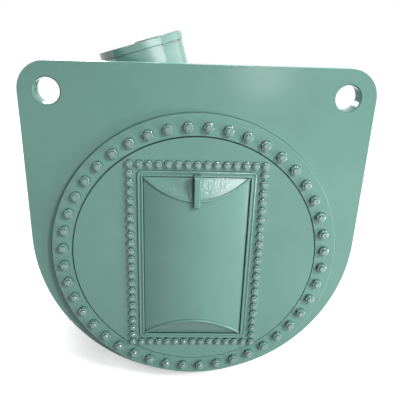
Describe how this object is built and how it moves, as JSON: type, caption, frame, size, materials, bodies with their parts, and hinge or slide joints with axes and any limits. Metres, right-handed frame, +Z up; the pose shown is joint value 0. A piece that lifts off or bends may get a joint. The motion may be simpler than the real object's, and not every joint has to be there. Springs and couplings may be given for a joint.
{
  "type": "shell and tube heat exchanger",
  "caption": "Horizontal gas cooler: a cylindrical shell on saddles, thick end plates with lifting eyes, bolted round covers, a curved return hood and a leaning gas nozzle.",
  "frame": {"origin": "on the floor, in the middle of the overall width and length", "axes": "+Z up, +Y along the shell from the hooded front end to the water pipes at the rear, +X to the right as seen from the front"},
  "size_m": [1.4114, 3.031, 1.6149],
  "materials": {
    "enamel": "glossy sea-green enamel",
    "nozzle_band": "glossy sea-green enamel on the nozzle's end band",
    "tube_steel": "drawn tube, bare",
    "bare_steel": "machined plate, bare"
  },
  "bodies": {
    "root": {"bundle_left_sheet": "bare_steel", "bundle_right_sheet": "bare_steel", "front_cover_disc": "enamel", "front_cover_ring": "enamel", "front_end_plate": "enamel", "front_gas_nozzle": "enamel", "front_header_frame": "enamel", "front_nozzle_band": "nozzle_band", "front_saddle_base": "enamel", "front_saddle_pad": "enamel", "front_saddle_ribs": "enamel", "front_saddle_web": "enamel", "front_tubesheet": "bare_steel", "hood_bottom_end": "enamel", "hood_rib": "enamel", "hood_skin": "enamel", "hood_top_end": "enamel", "lower_water_band": "nozzle_band", "lower_water_pipe": "enamel", "rear_cover_disc": "enamel", "rear_cover_ring": "enamel", "rear_end_plate": "enamel", "rear_gas_nozzle": "enamel", "rear_header_frame": "enamel", "rear_nozzle_band": "nozzle_band", "rear_saddle_base": "enamel", "rear_saddle_pad": "enamel", "rear_saddle_ribs": "enamel", "rear_saddle_web": "enamel", "rear_tubesheet": "bare_steel", "shell_front_top": "enamel", "shell_front_trough": "enamel", "shell_middle_top": "enamel", "shell_middle_trough": "enamel", "shell_rear_top": "enamel", "shell_rear_trough": "enamel", "tubes_lower": "tube_steel", "tubes_middle": "tube_steel", "tubes_upper": "tube_steel", "upper_water_band": "nozzle_band", "upper_water_pipe": "enamel", "water_box": "enamel", "water_box_back": "enamel", "water_box_partition": "enamel"}
  },
  "joints": []
}
